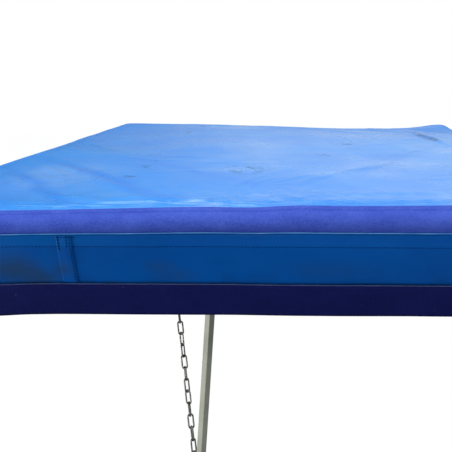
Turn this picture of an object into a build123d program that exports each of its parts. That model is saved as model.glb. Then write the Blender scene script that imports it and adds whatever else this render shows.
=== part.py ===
"""Crash landing mat lying on a folding steel deck.

Millimetres. X runs to the right, Y runs away from the front face, Z is up.
The origin is on the floor under the middle of the mat.
"""

import math
import os

from build123d import *

# Mat
MAT_WIDTH = 1830.0
MAT_DEPTH = 1830.0
MAT_THICKNESS = 203.0
MAT_CORNER_RADIUS = 40.0
DECK_HEIGHT = 900.0  # floor to the underside of the mat
LOWER_BAND_HEIGHT = 57.0
UPPER_BAND_HEIGHT = 52.0
BAND_THICKNESS = 5.0
COVER_THICKNESS = 2.0
FIRM_SLAB_THICKNESS = 25.0
TOP_FOAM_THICKNESS = 30.0
PIPING_RADIUS = 2.2
SEAM_FLAP_X = -607.0
SEAM_FLAP_WIDTH = 26.0

# Carry handles on the two side walls
HANDLE_SPREAD = 900.0
HANDLE_SPAN = 170.0
HANDLE_RISE = 14.0
HANDLE_TAB = 45.0
WEBBING_WIDTH = 38.0
WEBBING_THICKNESS = 3.0
PATCH_THICKNESS = 1.0

# Zip in the back wall
ZIP_LENGTH = 1300.0
ZIP_HEIGHT = 24.0  # above the lower band
ZIP_COIL_WIDTH = 6.0
ZIP_COIL_THICKNESS = 1.5
ZIP_TAPE_WIDTH = 12.0
ZIP_TAPE_THICKNESS = 0.8
SLIDER_LENGTH = 14.0
SLIDER_WIDTH = 11.0
SLIDER_GAP = 0.3
SLIDER_THICKNESS = 1.6
PULL_THICKNESS = 0.9
PULL_GAP = 0.2
PULL_LENGTH = 23.0
EYELET_RADIUS = 9.0

# Deck
DECK_WIDTH = 1600.0
DECK_DEPTH = 1600.0
BOARD_THICKNESS = 12.0
RAIL = 40.0
RAIL_WALL = 2.0
RAIL_EDGE_RADIUS = 4.0
BOARD_JOINT_GAP = 2.0
SCREW_RADIUS = 2.5
SCREW_HEAD_RADIUS = 5.0
SCREW_LENGTH = 25.0

# Leg frames
LEG_SIDE = 20.0  # square tube
LEG_CORNER_RADIUS = 2.0
LEG_BORE_CORNER_RADIUS = 0.6
LEG_WALL = 1.5
LEG_TURN = 45.0  # degrees that the square is turned about the leg, edge to the front
SPLAY = math.radians(14.0)  # each leg leans out to the front or the rear
LEAN = math.radians(3.5)  # and a little out to its own side
FRONT_LEG_X = 368.0
REAR_LEG_X = 305.0
HINGE_Y = 512.0
FRONT_PIVOT_DROP = 20.0  # pivot under the bearers
REAR_PIVOT_DROP = 56.0  # deeper, so that the folded frames stack
PIVOT_SLEEVE_RADIUS = 11.0
PIVOT_SLEEVE_LENGTH = 29.6
UPPER_BRACE_Z = 735.0
LOWER_BRACE_Z = 150.0
BRACE_RADIUS = 9.5
FOOT_RADIUS = 16.0
FOOT_SOCKET = 38.0
FOOT_SOLE = 8.0

# Hinge hardware
EAR_GAP = 30.4
EAR_THICKNESS = 4.0
EAR_RADIUS = 15.0
BRACKET_LENGTH = 56.0
BRACKET_PLATE = 3.0
BOLT_RADIUS = 4.0
BOLT_CLEARANCE = 0.06
HEAD_FLATS = 13.0
HEAD_HEIGHT = 5.3
NUT_HEIGHT = 6.5
WASHER_RADIUS = 8.0
WASHER_THICKNESS = 1.6

# Stay chains, long link
WIRE = 5.0
LINK_PITCH = 35.0
LINK_INNER_WIDTH = 10.0
LINK_GAP = 0.3
LINK_COUNT = 22
LINK_TURN = 67.0  # degrees from one link to the next in the upper stretch of a twisted chain
TWISTED_LINKS = 14
EYE_WIRE_RADIUS = 3.0
EYE_RADIUS = 9.0
EYE_NECK = 4.0
LEG_EYE_NECK = 3.2
WELD_DEPTH = 2.0  # how far a neck sinks into the tube that it is welded to
LEG_EYE_Z = 172.0
FRONT_STAY_X = 517.0
REAR_STAY_X = 372.0

BOARD_BOTTOM = DECK_HEIGHT - BOARD_THICKNESS
BEARER_BOTTOM = BOARD_BOTTOM - RAIL
RAIL_CENTRE_Z = BOARD_BOTTOM - RAIL / 2
WALL_FACE = BAND_THICKNESS  # how far the wall's face lies in from the outline
UPPER_BAND_Z = DECK_HEIGHT + MAT_THICKNESS - UPPER_BAND_HEIGHT
LEG_EDGE_REACH = (LEG_SIDE / 2 - LEG_CORNER_RADIUS) * math.sqrt(2)
LEG_FACE = LEG_EDGE_REACH + LEG_CORNER_RADIUS  # from a leg's middle to its inner edge
LINK_STEP = LINK_PITCH - LINK_GAP
LINK_BEND = (LINK_INNER_WIDTH + WIRE) / 2
LINK_STRAIGHT = LINK_PITCH + WIRE - 2 * LINK_BEND
EYE_BITE = EYE_RADIUS - EYE_WIRE_RADIUS - WIRE / 2 - LINK_GAP
FIRST_LINK = EYE_BITE + LINK_PITCH / 2 + WIRE / 2
CHAIN_LENGTH = 2 * FIRST_LINK + (LINK_COUNT - 1) * LINK_STEP

os.makedirs("parts", exist_ok=True)


def save(piece, label):
    """Name a finished piece and write its STEP file."""
    piece.part.label = label
    export_step(piece.part, f"parts/{label}.step")


# ---------------------------------------------------------------- mat


def mat_block(label, inset, bottom, height):
    """A slab of the mat's outline, drawn in by inset."""
    with BuildPart() as slab:
        with BuildSketch(Plane.XY.offset(bottom)):
            RectangleRounded(
                MAT_WIDTH - 2 * inset, MAT_DEPTH - 2 * inset, MAT_CORNER_RADIUS - inset
            )
        extrude(amount=height)
    save(slab, label)


def mat_band(label, inset, thickness, bottom, height):
    """A band that runs right round the mat."""
    inner = inset + thickness
    with BuildPart() as band:
        with BuildSketch(Plane.XY.offset(bottom)):
            RectangleRounded(
                MAT_WIDTH - 2 * inset, MAT_DEPTH - 2 * inset, MAT_CORNER_RADIUS - inset
            )
            RectangleRounded(
                MAT_WIDTH - 2 * inner,
                MAT_DEPTH - 2 * inner,
                MAT_CORNER_RADIUS - inner,
                mode=Mode.SUBTRACT,
            )
        extrude(amount=height)
    save(band, label)


def mat_foam():
    """Three glued layers: a firm slab, the soft core and a top layer."""
    inset = WALL_FACE + COVER_THICKNESS
    core = MAT_THICKNESS - 2 * COVER_THICKNESS - FIRM_SLAB_THICKNESS - TOP_FOAM_THICKNESS
    bottom = DECK_HEIGHT + COVER_THICKNESS
    mat_block("foam_base_slab", inset, bottom, FIRM_SLAB_THICKNESS)
    mat_block("foam_core", inset, bottom + FIRM_SLAB_THICKNESS, core)
    mat_block("foam_top_layer", inset, bottom + FIRM_SLAB_THICKNESS + core, TOP_FOAM_THICKNESS)


def mat_cover():
    """Top and base sheets, the side wall, the two loop bands and their piping."""
    inset = WALL_FACE + COVER_THICKNESS
    top = DECK_HEIGHT + MAT_THICKNESS - COVER_THICKNESS
    mat_block("cover_top_panel", inset, top, COVER_THICKNESS)
    mat_block("cover_base_panel", inset, DECK_HEIGHT, COVER_THICKNESS)
    mat_band("cover_side_wall", WALL_FACE, COVER_THICKNESS, DECK_HEIGHT, MAT_THICKNESS)
    mat_band("lower_loop_band", 0, BAND_THICKNESS, DECK_HEIGHT, LOWER_BAND_HEIGHT)
    mat_band("upper_loop_band", 0, BAND_THICKNESS, UPPER_BAND_Z, UPPER_BAND_HEIGHT)
    width = 2 * PIPING_RADIUS
    below_upper = UPPER_BAND_Z - width
    mat_band("upper_piping", WALL_FACE - width, width, below_upper, width)
    above_lower = DECK_HEIGHT + LOWER_BAND_HEIGHT
    mat_band("lower_piping", WALL_FACE - width, width, above_lower, width)


def seam_flap():
    """The lapped end of the side wall's strip, on the front face."""
    bottom = DECK_HEIGHT + LOWER_BAND_HEIGHT + 2 * PIPING_RADIUS
    height = UPPER_BAND_Z - 2 * PIPING_RADIUS - bottom
    with BuildPart() as flap:
        with BuildSketch(Plane.XZ.offset(MAT_DEPTH / 2 - WALL_FACE)):
            with Locations((SEAM_FLAP_X, bottom + height / 2)):
                Rectangle(SEAM_FLAP_WIDTH, height)
        extrude(amount=COVER_THICKNESS / 2)
    save(flap, "front_seam_flap")


def carry_handle(label, y, on_left):
    """A webbing strap sewn down at its ends and bowed out between them."""
    middle = (LOWER_BAND_HEIGHT + MAT_THICKNESS - UPPER_BAND_HEIGHT) / 2
    bottom = DECK_HEIGHT + middle - WEBBING_WIDTH / 2
    wall = MAT_WIDTH / 2 - WALL_FACE + PATCH_THICKNESS
    half = HANDLE_SPAN / 2
    with BuildPart() as strap:
        with BuildSketch(Plane.XY.offset(bottom)):
            with BuildLine():
                Line((wall, y - half - HANDLE_TAB), (wall, y - half))
                ThreePointArc((wall, y - half), (wall + HANDLE_RISE, y), (wall, y + half))
                Line((wall, y + half), (wall, y + half + HANDLE_TAB))
                offset(amount=WEBBING_THICKNESS, side=Side.RIGHT, closed=True)
            make_face()
        extrude(amount=WEBBING_WIDTH)
        if on_left:
            mirror(about=Plane.YZ, mode=Mode.REPLACE)
    save(strap, label)


def handle_patches():
    """A reinforcing patch under each handle."""
    middle = DECK_HEIGHT + (LOWER_BAND_HEIGHT + MAT_THICKNESS - UPPER_BAND_HEIGHT) / 2
    length = HANDLE_SPAN + 2 * HANDLE_TAB + 20
    wall = MAT_WIDTH / 2 - WALL_FACE
    with BuildPart() as patches:
        for side in (-1, 1):
            with BuildSketch(Plane.YZ.offset(side * wall)):
                with GridLocations(HANDLE_SPREAD, 1, 2, 1):
                    with Locations((0, middle)):
                        RectangleRounded(length, WEBBING_WIDTH + 30, 8)
            extrude(amount=side * PATCH_THICKNESS)
    save(patches, "handle_patches")


def zip_parts():
    """A coil zip along the back wall, with its slider and pull."""
    face = MAT_DEPTH / 2 - WALL_FACE
    level = DECK_HEIGHT + LOWER_BAND_HEIGHT + ZIP_HEIGHT
    back = Plane(origin=(0, face, level), x_dir=(-1, 0, 0), z_dir=(0, 1, 0))
    tape_centre = (ZIP_COIL_WIDTH + ZIP_TAPE_WIDTH) / 2
    with BuildPart() as tape:
        with BuildSketch(back):
            with Locations((0, tape_centre), (0, -tape_centre)):
                Rectangle(ZIP_LENGTH + 30, ZIP_TAPE_WIDTH)
        extrude(amount=ZIP_TAPE_THICKNESS)
    save(tape, "zip_tape")
    with BuildPart() as coil:
        with BuildSketch(back):
            Rectangle(ZIP_LENGTH, ZIP_COIL_WIDTH)
        extrude(amount=ZIP_COIL_THICKNESS)
    save(coil, "zip_coil")

    closed_end = -(ZIP_LENGTH - 3 * SLIDER_LENGTH) / 2
    bridge_span = 7.0
    bridge_width = 2.2
    bridge_height = 2.0
    bridge_bar = 0.6
    lip = ZIP_TAPE_THICKNESS + SLIDER_GAP
    slider_top = lip + SLIDER_THICKNESS
    with BuildPart() as slider:
        with BuildSketch(back.offset(lip)):
            with Locations((closed_end, 0)):
                RectangleRounded(SLIDER_LENGTH, SLIDER_WIDTH, 2.5)
        extrude(amount=SLIDER_THICKNESS)
        with BuildSketch(back.offset(lip)):
            with Locations((closed_end, 0)):
                Rectangle(SLIDER_LENGTH + 1, ZIP_COIL_WIDTH + 2 * SLIDER_GAP)
        extrude(amount=ZIP_COIL_THICKNESS + SLIDER_GAP - lip, mode=Mode.SUBTRACT)
        with BuildSketch(back.offset(slider_top)):
            with Locations((closed_end, 0)):
                with GridLocations(bridge_span, 1, 2, 1):
                    Rectangle(2 * bridge_bar, bridge_width)
        extrude(amount=bridge_height)
        with BuildSketch(back.offset(slider_top + bridge_height)):
            with Locations((closed_end, 0)):
                Rectangle(bridge_span + 2 * bridge_bar, bridge_width)
        extrude(amount=-bridge_bar)
    save(slider, "zip_slider")

    bar = PULL_THICKNESS
    arm = 2.1
    with BuildPart() as pull:
        with BuildSketch(back.offset(slider_top + PULL_GAP)):
            with Locations((closed_end, 0)):
                Rectangle(bar, 2 * arm + 1)
            with Locations((closed_end + 3.5 - bar / 2, arm), (closed_end + 3.5 - bar / 2, -arm)):
                Rectangle(7, 1)
            with Locations((closed_end + 5 + PULL_LENGTH / 2, 0)):
                RectangleRounded(PULL_LENGTH, 8, 2.8)
        extrude(amount=PULL_THICKNESS)
    save(pull, "zip_pull")


def breather_eyelets():
    """Four vents in the back wall that let the air out on a landing."""
    face = MAT_DEPTH / 2 - WALL_FACE
    level = DECK_HEIGHT + MAT_THICKNESS - UPPER_BAND_HEIGHT - 26
    back = Plane(origin=(0, face, level), x_dir=(-1, 0, 0), z_dir=(0, 1, 0))
    with BuildPart() as eyelets:
        with BuildSketch(back):
            with GridLocations(420, 1, 4, 1):
                Circle(EYELET_RADIUS)
        extrude(amount=1.5)
        with BuildSketch(back.offset(1.5)):
            with GridLocations(420, 1, 4, 1):
                Circle(EYELET_RADIUS - 4)
        extrude(amount=-0.9, mode=Mode.SUBTRACT)
    save(eyelets, "breather_eyelets")


# --------------------------------------------------------------- deck


RAIL_Y = DECK_DEPTH / 2 - RAIL / 2
RAIL_X = DECK_WIDTH / 2 - RAIL / 2
SCREW_XS = (-690, -390, -90, 90, 390, 690)


def box_section():
    """The cross-section that every deck tube shares."""
    RectangleRounded(RAIL, RAIL, RAIL_EDGE_RADIUS)
    bore = RAIL - 2 * RAIL_WALL
    RectangleRounded(bore, bore, RAIL_EDGE_RADIUS - RAIL_WALL, mode=Mode.SUBTRACT)


def cross_tube(label, y, length):
    """A square tube along X, drilled for the board screws."""
    with BuildPart() as tube:
        with BuildSketch(Plane.YZ.offset(-length / 2)):
            with Locations((y, RAIL_CENTRE_Z)):
                box_section()
        extrude(amount=length)
        with BuildSketch(Plane.XY.offset(BOARD_BOTTOM)):
            with Locations(*[(x, y) for x in SCREW_XS]):
                Circle(SCREW_RADIUS)
        extrude(amount=-RAIL / 2, mode=Mode.SUBTRACT)
    save(tube, label)


def side_tube(label, x):
    """A square tube along Y between the front and rear rails."""
    length = DECK_DEPTH - 2 * RAIL
    with BuildPart() as tube:
        with BuildSketch(Plane.XZ.offset(-length / 2)):
            with Locations((x, RAIL_CENTRE_Z)):
                box_section()
        extrude(amount=length)
    save(tube, label)


def rail_end_caps():
    """Plastic plugs in the open ends of the front and rear rails."""
    bore = RAIL - 2 * RAIL_WALL - 0.2
    with BuildPart() as caps:
        for side in (-1, 1):
            with BuildSketch(Plane.YZ.offset(side * DECK_WIDTH / 2)):
                with Locations((-RAIL_Y, RAIL_CENTRE_Z), (RAIL_Y, RAIL_CENTRE_Z)):
                    RectangleRounded(RAIL, RAIL, RAIL_EDGE_RADIUS)
            extrude(amount=side * 3)
            with BuildSketch(Plane.YZ.offset(side * DECK_WIDTH / 2)):
                with Locations((-RAIL_Y, RAIL_CENTRE_Z), (RAIL_Y, RAIL_CENTRE_Z)):
                    RectangleRounded(bore, bore, RAIL_WALL + 0.4)
            extrude(amount=-side * 16)
    save(caps, "rail_end_caps")


def screw_places(bearer_ys):
    """Where the boards are screwed down."""
    rows = [-RAIL_Y, *bearer_ys, RAIL_Y]
    return [(x, y) for y in rows for x in SCREW_XS]


def deck_board(label, side, places):
    """One of the two plywood boards, countersunk for its screws."""
    width = (DECK_WIDTH - BOARD_JOINT_GAP) / 2
    centre = side * (DECK_WIDTH + BOARD_JOINT_GAP) / 4
    own = [(x, y) for x, y in places if x * side > 0]
    with BuildPart() as board:
        with BuildSketch(Plane.XY.offset(BOARD_BOTTOM)):
            with Locations((centre, 0)):
                RectangleRounded(width, DECK_DEPTH, 8)
        extrude(amount=BOARD_THICKNESS)
        with Locations(*[(x, y, DECK_HEIGHT) for x, y in own]):
            CounterSinkHole(SCREW_RADIUS, SCREW_HEAD_RADIUS, BOARD_THICKNESS, 90)
    save(board, label)


def board_screws(places):
    """Countersunk self-drilling screws, heads flush with the boards."""
    head = SCREW_HEAD_RADIUS - SCREW_RADIUS
    with BuildPart() as screw:
        with BuildSketch(Plane.XZ):
            with BuildLine():
                Polyline(
                    (0, 0),
                    (SCREW_HEAD_RADIUS, 0),
                    (SCREW_RADIUS, -head),
                    (SCREW_RADIUS, -SCREW_LENGTH + SCREW_RADIUS),
                    (0, -SCREW_LENGTH),
                    close=True,
                )
            make_face()
        revolve(axis=Axis.Z)
    with BuildPart() as screws:
        with Locations(*[(x, y, DECK_HEIGHT) for x, y in places]):
            add(screw.part)
    save(screws, "board_screws")


# --------------------------------------------------------- leg frames


class Corner:
    """The lines and points of one leg: which side, and front or rear."""

    def __init__(self, name, side, end):
        self.name = name
        self.turn = side * end * LEG_TURN
        self.side = side
        self.end = end
        front = end < 0
        drop = FRONT_PIVOT_DROP if front else REAR_PIVOT_DROP
        leg_x = FRONT_LEG_X if front else REAR_LEG_X
        stay_x = FRONT_STAY_X if front else REAR_STAY_X
        self.pivot = Vector(side * leg_x, end * HINGE_Y, BEARER_BOTTOM - drop)
        down = Vector(side * math.tan(LEAN), end * math.tan(SPLAY), -1)
        self.down = down.normalized()
        inward = Vector(0, -end, 0)
        self.inward = (inward - self.down * inward.dot(self.down)).normalized()
        reach = LEG_FACE + LEG_EYE_NECK + EYE_RADIUS + EYE_WIRE_RADIUS
        self.leg_eye = self.on_leg(LEG_EYE_Z) + self.inward * reach
        stay_z = BEARER_BOTTOM - EYE_NECK - EYE_RADIUS - EYE_WIRE_RADIUS
        across = side * stay_x - self.leg_eye.X
        rise = stay_z - self.leg_eye.Z
        run = math.sqrt(CHAIN_LENGTH**2 - across**2 - rise**2)
        self.stay_eye = Vector(side * stay_x, self.leg_eye.Y - end * run, stay_z)
        self.along = (self.leg_eye - self.stay_eye).normalized()
        self.stay_normal = self.along.cross(Vector(0, 0, 1)).normalized()
        self.leg_normal = self.inward.cross(self.along).normalized()

    def distance(self, z):
        """Distance down the leg from its pivot to a height."""
        return (self.pivot.Z - z) / -self.down.Z

    def on_leg(self, z):
        return self.pivot + self.down * self.distance(z)

    def leg_plane(self, distance=0):
        """A plane square to the leg, a distance down it."""
        return Plane(origin=self.pivot + self.down * distance, x_dir=(1, 0, 0), z_dir=self.down)

    def link_planes(self):
        """One plane for each chain link, its Z along the chain and its X across the link."""
        start, end = self.stay_normal, self.leg_normal
        turn = math.degrees(math.atan2(start.cross(end).dot(self.along), start.dot(end)))
        steps = LINK_COUNT - 1
        whole = turn + 180 * round((LINK_TURN * steps - turn) / 180)
        twisted = TWISTED_LINKS * LINK_TURN
        rest = (whole - twisted) / (steps - TWISTED_LINKS)
        planes = []
        for n in range(LINK_COUNT):
            origin = self.stay_eye + self.along * (FIRST_LINK + n * LINK_STEP)
            angle = min(n, TWISTED_LINKS) * LINK_TURN + max(n - TWISTED_LINKS, 0) * rest
            across = start.rotate(Axis((0, 0, 0), self.along), angle)
            planes.append(Plane(origin=origin, x_dir=across, z_dir=self.along))
        return planes


CORNERS = [
    Corner("front_left", -1, -1),
    Corner("front_right", 1, -1),
    Corner("rear_left", -1, 1),
    Corner("rear_right", 1, 1),
]


def leg_outline(corner):
    """The square outline of a leg, drawn in the sketch that calls it."""
    RectangleRounded(LEG_SIDE, LEG_SIDE, LEG_CORNER_RADIUS, rotation=corner.turn)


def leg(corner):
    """A square tube from its hinge to its foot, with a sleeve across its top for the pivot bolt."""
    length = corner.distance(FOOT_SOLE)
    bore = LEG_SIDE - 2 * LEG_WALL
    with BuildPart() as tube:
        with BuildSketch(corner.leg_plane()):
            leg_outline(corner)
        extrude(amount=length)
        with BuildSketch(Plane.YZ.offset(corner.pivot.X)):
            with Locations((corner.pivot.Y, corner.pivot.Z)):
                Circle(PIVOT_SLEEVE_RADIUS)
        extrude(amount=PIVOT_SLEEVE_LENGTH / 2, both=True)
        with BuildSketch(corner.leg_plane(PIVOT_SLEEVE_RADIUS)):
            RectangleRounded(bore, bore, LEG_BORE_CORNER_RADIUS, rotation=corner.turn)
        extrude(amount=length, mode=Mode.SUBTRACT)
        with BuildSketch(Plane.YZ.offset(corner.pivot.X)):
            with Locations((corner.pivot.Y, corner.pivot.Z)):
                Circle(BOLT_RADIUS + BOLT_CLEARANCE)
        extrude(amount=PIVOT_SLEEVE_LENGTH, both=True, mode=Mode.SUBTRACT)
    save(tube, f"{corner.name}_leg")


def foot_pair(label, corners):
    """Rubber feet pushed on over the legs, cut flat on the floor."""
    with BuildPart() as feet:
        for corner in corners:
            end = corner.distance(FOOT_SOLE)
            with BuildSketch(corner.leg_plane(end - FOOT_SOCKET)):
                Circle(FOOT_RADIUS)
            extrude(amount=FOOT_SOCKET + 2 * FOOT_SOLE + LEG_WALL)
            with BuildSketch(corner.leg_plane(end - FOOT_SOCKET)):
                leg_outline(corner)
            extrude(amount=FOOT_SOCKET, mode=Mode.SUBTRACT)
        split(bisect_by=Plane.XY, keep=Keep.TOP)
    save(feet, label)


def brace(label, corners, z):
    """A cross tube between two legs, coped to meet them."""
    left, right = corners
    y = left.on_leg(z).Y
    start = left.on_leg(z).X
    with BuildPart() as tube:
        with BuildSketch(Plane.YZ.offset(start)):
            with Locations((y, z)):
                Circle(BRACE_RADIUS)
                Circle(BRACE_RADIUS - LEG_WALL, mode=Mode.SUBTRACT)
        extrude(amount=right.on_leg(z).X - start)
        for corner in corners:
            with BuildSketch(corner.leg_plane()):
                leg_outline(corner)
            extrude(amount=corner.distance(0), mode=Mode.SUBTRACT)
    save(tube, label)


def welded_eye(centre, normal, neck, foot):
    """A forged ring with a neck that runs from its rim for a distance of foot."""
    rim = centre + neck * EYE_RADIUS
    far_rim = centre - neck * EYE_RADIUS
    with BuildPart() as eye:
        with BuildSketch(Plane(origin=far_rim, x_dir=neck, z_dir=neck.cross(normal))):
            Circle(EYE_WIRE_RADIUS)
        revolve(axis=Axis(centre, normal))
        with BuildSketch(Plane(origin=rim, x_dir=normal, z_dir=neck)):
            Circle(EYE_WIRE_RADIUS)
        extrude(amount=foot)
    return eye


def leg_eyes(label, corners):
    """The welded eye near the foot of each leg, where its chain ends."""
    foot = EYE_WIRE_RADIUS + LEG_EYE_NECK + WELD_DEPTH
    rings = [welded_eye(c.leg_eye, c.leg_normal, c.inward * -1, foot) for c in corners]
    with BuildPart() as eyes:
        for ring in rings:
            add(ring.part)
    save(eyes, label)


def stay_eyes():
    """The four eyes welded under the stay bearers, where the chains begin."""
    up = Vector(0, 0, 1)
    foot = EYE_NECK + EYE_WIRE_RADIUS
    rings = [welded_eye(c.stay_eye, c.stay_normal, up, foot) for c in CORNERS]
    with BuildPart() as eyes:
        for ring in rings:
            add(ring.part)
    save(eyes, "stay_eyes")


def hinge_bracket_pair(label, corners):
    """Clevis brackets welded under a bearer."""
    half = EAR_GAP / 2
    with BuildPart() as brackets:
        for corner in corners:
            x, y, z = corner.pivot
            for inner, outward in ((x - half, -1), (x + half, 1)):
                with BuildSketch(Plane.YZ.offset(inner)):
                    with Locations((y, z)):
                        Circle(EAR_RADIUS)
                    with Locations((y, (z + BEARER_BOTTOM) / 2)):
                        Rectangle(2 * EAR_RADIUS, BEARER_BOTTOM - z)
                    with Locations((y, z)):
                        Circle(BOLT_RADIUS + BOLT_CLEARANCE, mode=Mode.SUBTRACT)
                extrude(amount=outward * EAR_THICKNESS)
            with BuildSketch(Plane.XY.offset(BEARER_BOTTOM)):
                with Locations((x, y)):
                    Rectangle(EAR_GAP + 2 * EAR_THICKNESS + 16, RAIL)
            extrude(amount=-BRACKET_PLATE)
    save(brackets, label)


def hinge_fasteners():
    """Pivot bolts, their washers and their lock nuts."""
    ear = EAR_GAP / 2 + EAR_THICKNESS
    seat = ear + WASHER_THICKNESS
    with BuildPart() as bolts:
        for corner in CORNERS:
            x, y, z = corner.pivot
            out = corner.side
            with BuildSketch(Plane.YZ.offset(x + out * seat)):
                with Locations((y, z)):
                    RegularPolygon(HEAD_FLATS / 2, 6, major_radius=False)
            extrude(amount=out * HEAD_HEIGHT)
            with BuildSketch(Plane.YZ.offset(x + out * seat)):
                with Locations((y, z)):
                    Circle(BOLT_RADIUS)
            extrude(amount=-out * (2 * seat + NUT_HEIGHT + 2))
    save(bolts, "pivot_bolts")
    with BuildPart() as nuts:
        for corner in CORNERS:
            x, y, z = corner.pivot
            with BuildSketch(Plane.YZ.offset(x - corner.side * seat)):
                with Locations((y, z)):
                    RegularPolygon(HEAD_FLATS / 2, 6, major_radius=False)
                    Circle(BOLT_RADIUS, mode=Mode.SUBTRACT)
            extrude(amount=-corner.side * NUT_HEIGHT)
    save(nuts, "pivot_nuts")
    with BuildPart() as washers:
        for corner in CORNERS:
            x, y, z = corner.pivot
            for out in (-1, 1):
                with BuildSketch(Plane.YZ.offset(x + out * ear)):
                    with Locations((y, z)):
                        Circle(WASHER_RADIUS)
                        Circle(BOLT_RADIUS, mode=Mode.SUBTRACT)
                extrude(amount=out * WASHER_THICKNESS)
    save(washers, "pivot_washers")


# ------------------------------------------------------------- chains


def chain_link():
    """One long link, its length along Z and its width along X."""
    with BuildPart() as link:
        with BuildSketch(Plane.XY.offset(-LINK_STRAIGHT / 2)):
            with Locations((LINK_BEND, 0), (-LINK_BEND, 0)):
                Circle(WIRE / 2)
        extrude(amount=LINK_STRAIGHT)
        for end in (-1, 1):
            height = end * LINK_STRAIGHT / 2
            with BuildSketch(Plane.XY.offset(height)):
                with Locations((LINK_BEND, 0)):
                    Circle(WIRE / 2)
            revolve(axis=Axis((0, 0, height), (0, -end, 0)), revolution_arc=180)
    return link


def chain_half(label, link, planes):
    """Half of a stay chain, which moves as one piece."""
    with BuildPart() as half:
        with Locations(*planes):
            add(link.part)
    save(half, label)


def report_joint_points():
    """Print the points that the joints turn about."""
    for corner in CORNERS:
        print(corner.name, "pivot", tuple(corner.pivot))
        print("   stay eye", tuple(corner.stay_eye), "leg eye", tuple(corner.leg_eye))


mat_foam()
mat_cover()
seam_flap()
for side_name in ("left", "right"):
    for end_name, y in (("front", -HANDLE_SPREAD / 2), ("rear", HANDLE_SPREAD / 2)):
        carry_handle(f"carry_handle_{side_name}_{end_name}", y, side_name == "left")
handle_patches()
zip_parts()
breather_eyelets()

front_corners, rear_corners = CORNERS[:2], CORNERS[2:]
front_stay_y = CORNERS[0].stay_eye.Y
rear_stay_y = CORNERS[2].stay_eye.Y
inner_length = DECK_WIDTH - 2 * RAIL
cross_tube("front_rail", -RAIL_Y, DECK_WIDTH)
cross_tube("rear_rail", RAIL_Y, DECK_WIDTH)
side_tube("left_rail", -RAIL_X)
side_tube("right_rail", RAIL_X)
cross_tube("front_hinge_bearer", -HINGE_Y, inner_length)
cross_tube("rear_hinge_bearer", HINGE_Y, inner_length)
cross_tube("front_stay_bearer", front_stay_y, inner_length)
cross_tube("rear_stay_bearer", rear_stay_y, inner_length)
rail_end_caps()
screws = screw_places([-HINGE_Y, front_stay_y, rear_stay_y, HINGE_Y])
deck_board("deck_board_left", -1, screws)
deck_board("deck_board_right", 1, screws)
board_screws(screws)

for corner in CORNERS:
    leg(corner)
foot_pair("front_feet", front_corners)
foot_pair("rear_feet", rear_corners)
brace("front_upper_brace", front_corners, UPPER_BRACE_Z)
brace("front_lower_brace", front_corners, LOWER_BRACE_Z)
brace("rear_upper_brace", rear_corners, UPPER_BRACE_Z - REAR_PIVOT_DROP + FRONT_PIVOT_DROP)
brace("rear_lower_brace", rear_corners, LOWER_BRACE_Z)
leg_eyes("front_leg_eyes", front_corners)
leg_eyes("rear_leg_eyes", rear_corners)
stay_eyes()
hinge_bracket_pair("front_hinge_brackets", front_corners)
hinge_bracket_pair("rear_hinge_brackets", rear_corners)
hinge_fasteners()

link = chain_link()
for corner in CORNERS:
    planes = corner.link_planes()
    middle = LINK_COUNT // 2
    chain_half(f"{corner.name}_chain_upper", link, planes[:middle])
    chain_half(f"{corner.name}_chain_lower", link, planes[middle:])
report_joint_points()
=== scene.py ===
import math

import bpy
import numpy as np
from mathutils import Euler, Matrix, Quaternion, Vector, noise


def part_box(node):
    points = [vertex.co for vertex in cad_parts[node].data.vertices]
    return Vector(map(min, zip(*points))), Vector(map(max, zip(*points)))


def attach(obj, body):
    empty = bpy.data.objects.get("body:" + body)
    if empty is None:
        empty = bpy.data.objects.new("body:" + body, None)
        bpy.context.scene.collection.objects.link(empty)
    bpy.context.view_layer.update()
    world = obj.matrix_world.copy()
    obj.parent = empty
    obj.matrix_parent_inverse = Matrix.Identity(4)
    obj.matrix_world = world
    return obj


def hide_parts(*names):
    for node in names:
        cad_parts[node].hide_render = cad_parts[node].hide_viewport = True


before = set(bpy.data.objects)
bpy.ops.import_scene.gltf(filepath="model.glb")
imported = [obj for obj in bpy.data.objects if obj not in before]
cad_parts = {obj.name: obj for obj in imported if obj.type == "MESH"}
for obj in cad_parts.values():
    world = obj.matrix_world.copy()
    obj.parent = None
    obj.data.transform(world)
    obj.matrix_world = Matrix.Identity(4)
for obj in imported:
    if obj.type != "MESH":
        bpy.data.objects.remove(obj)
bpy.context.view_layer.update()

# The landing mat's cover, foam and trim are rebuilt here as soft pieces. The steel deck, the
# legs and the chains are the CAD's own nodes with finished materials. Metres, in the CAD's frame.

# --- the mat's driving sizes

BASE_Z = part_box("lower_loop_band")[0].z
LOWER_SEAM_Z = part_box("lower_loop_band")[1].z + 0.0062
UPPER_SEAM_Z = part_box("upper_loop_band")[0].z + 0.0055
TOP_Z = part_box("cover_top_panel")[1].z
HALF_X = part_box("upper_loop_band")[1].x
HALF_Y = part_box("upper_loop_band")[1].y
THICKNESS = TOP_Z - BASE_Z
WALL_INSET = HALF_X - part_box("cover_side_wall")[1].x
CORNER_RADIUS = 0.04
FRONT_SEAM_INSET = 0.027
EDGE_ROLL = 0.011
STATION_GAP = 0.007
STITCH_DROP = 0.0223
BAND_FOOT = UPPER_SEAM_Z + 0.001
SIDE_BAND_HEIGHT = TOP_Z - EDGE_ROLL - BAND_FOOT


def smooth(low, high, value):
    """0 below low, 1 above high, and an S-curve between."""
    t = np.clip((value - low) / (high - low), 0, 1)
    return t * t * (3 - 2 * t)


def bump(x, y, centre, width):
    """A round hill of height 1 about centre."""
    return np.exp(-(((x - centre[0]) / width[0]) ** 2 + ((y - centre[1]) / width[1]) ** 2))


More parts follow.
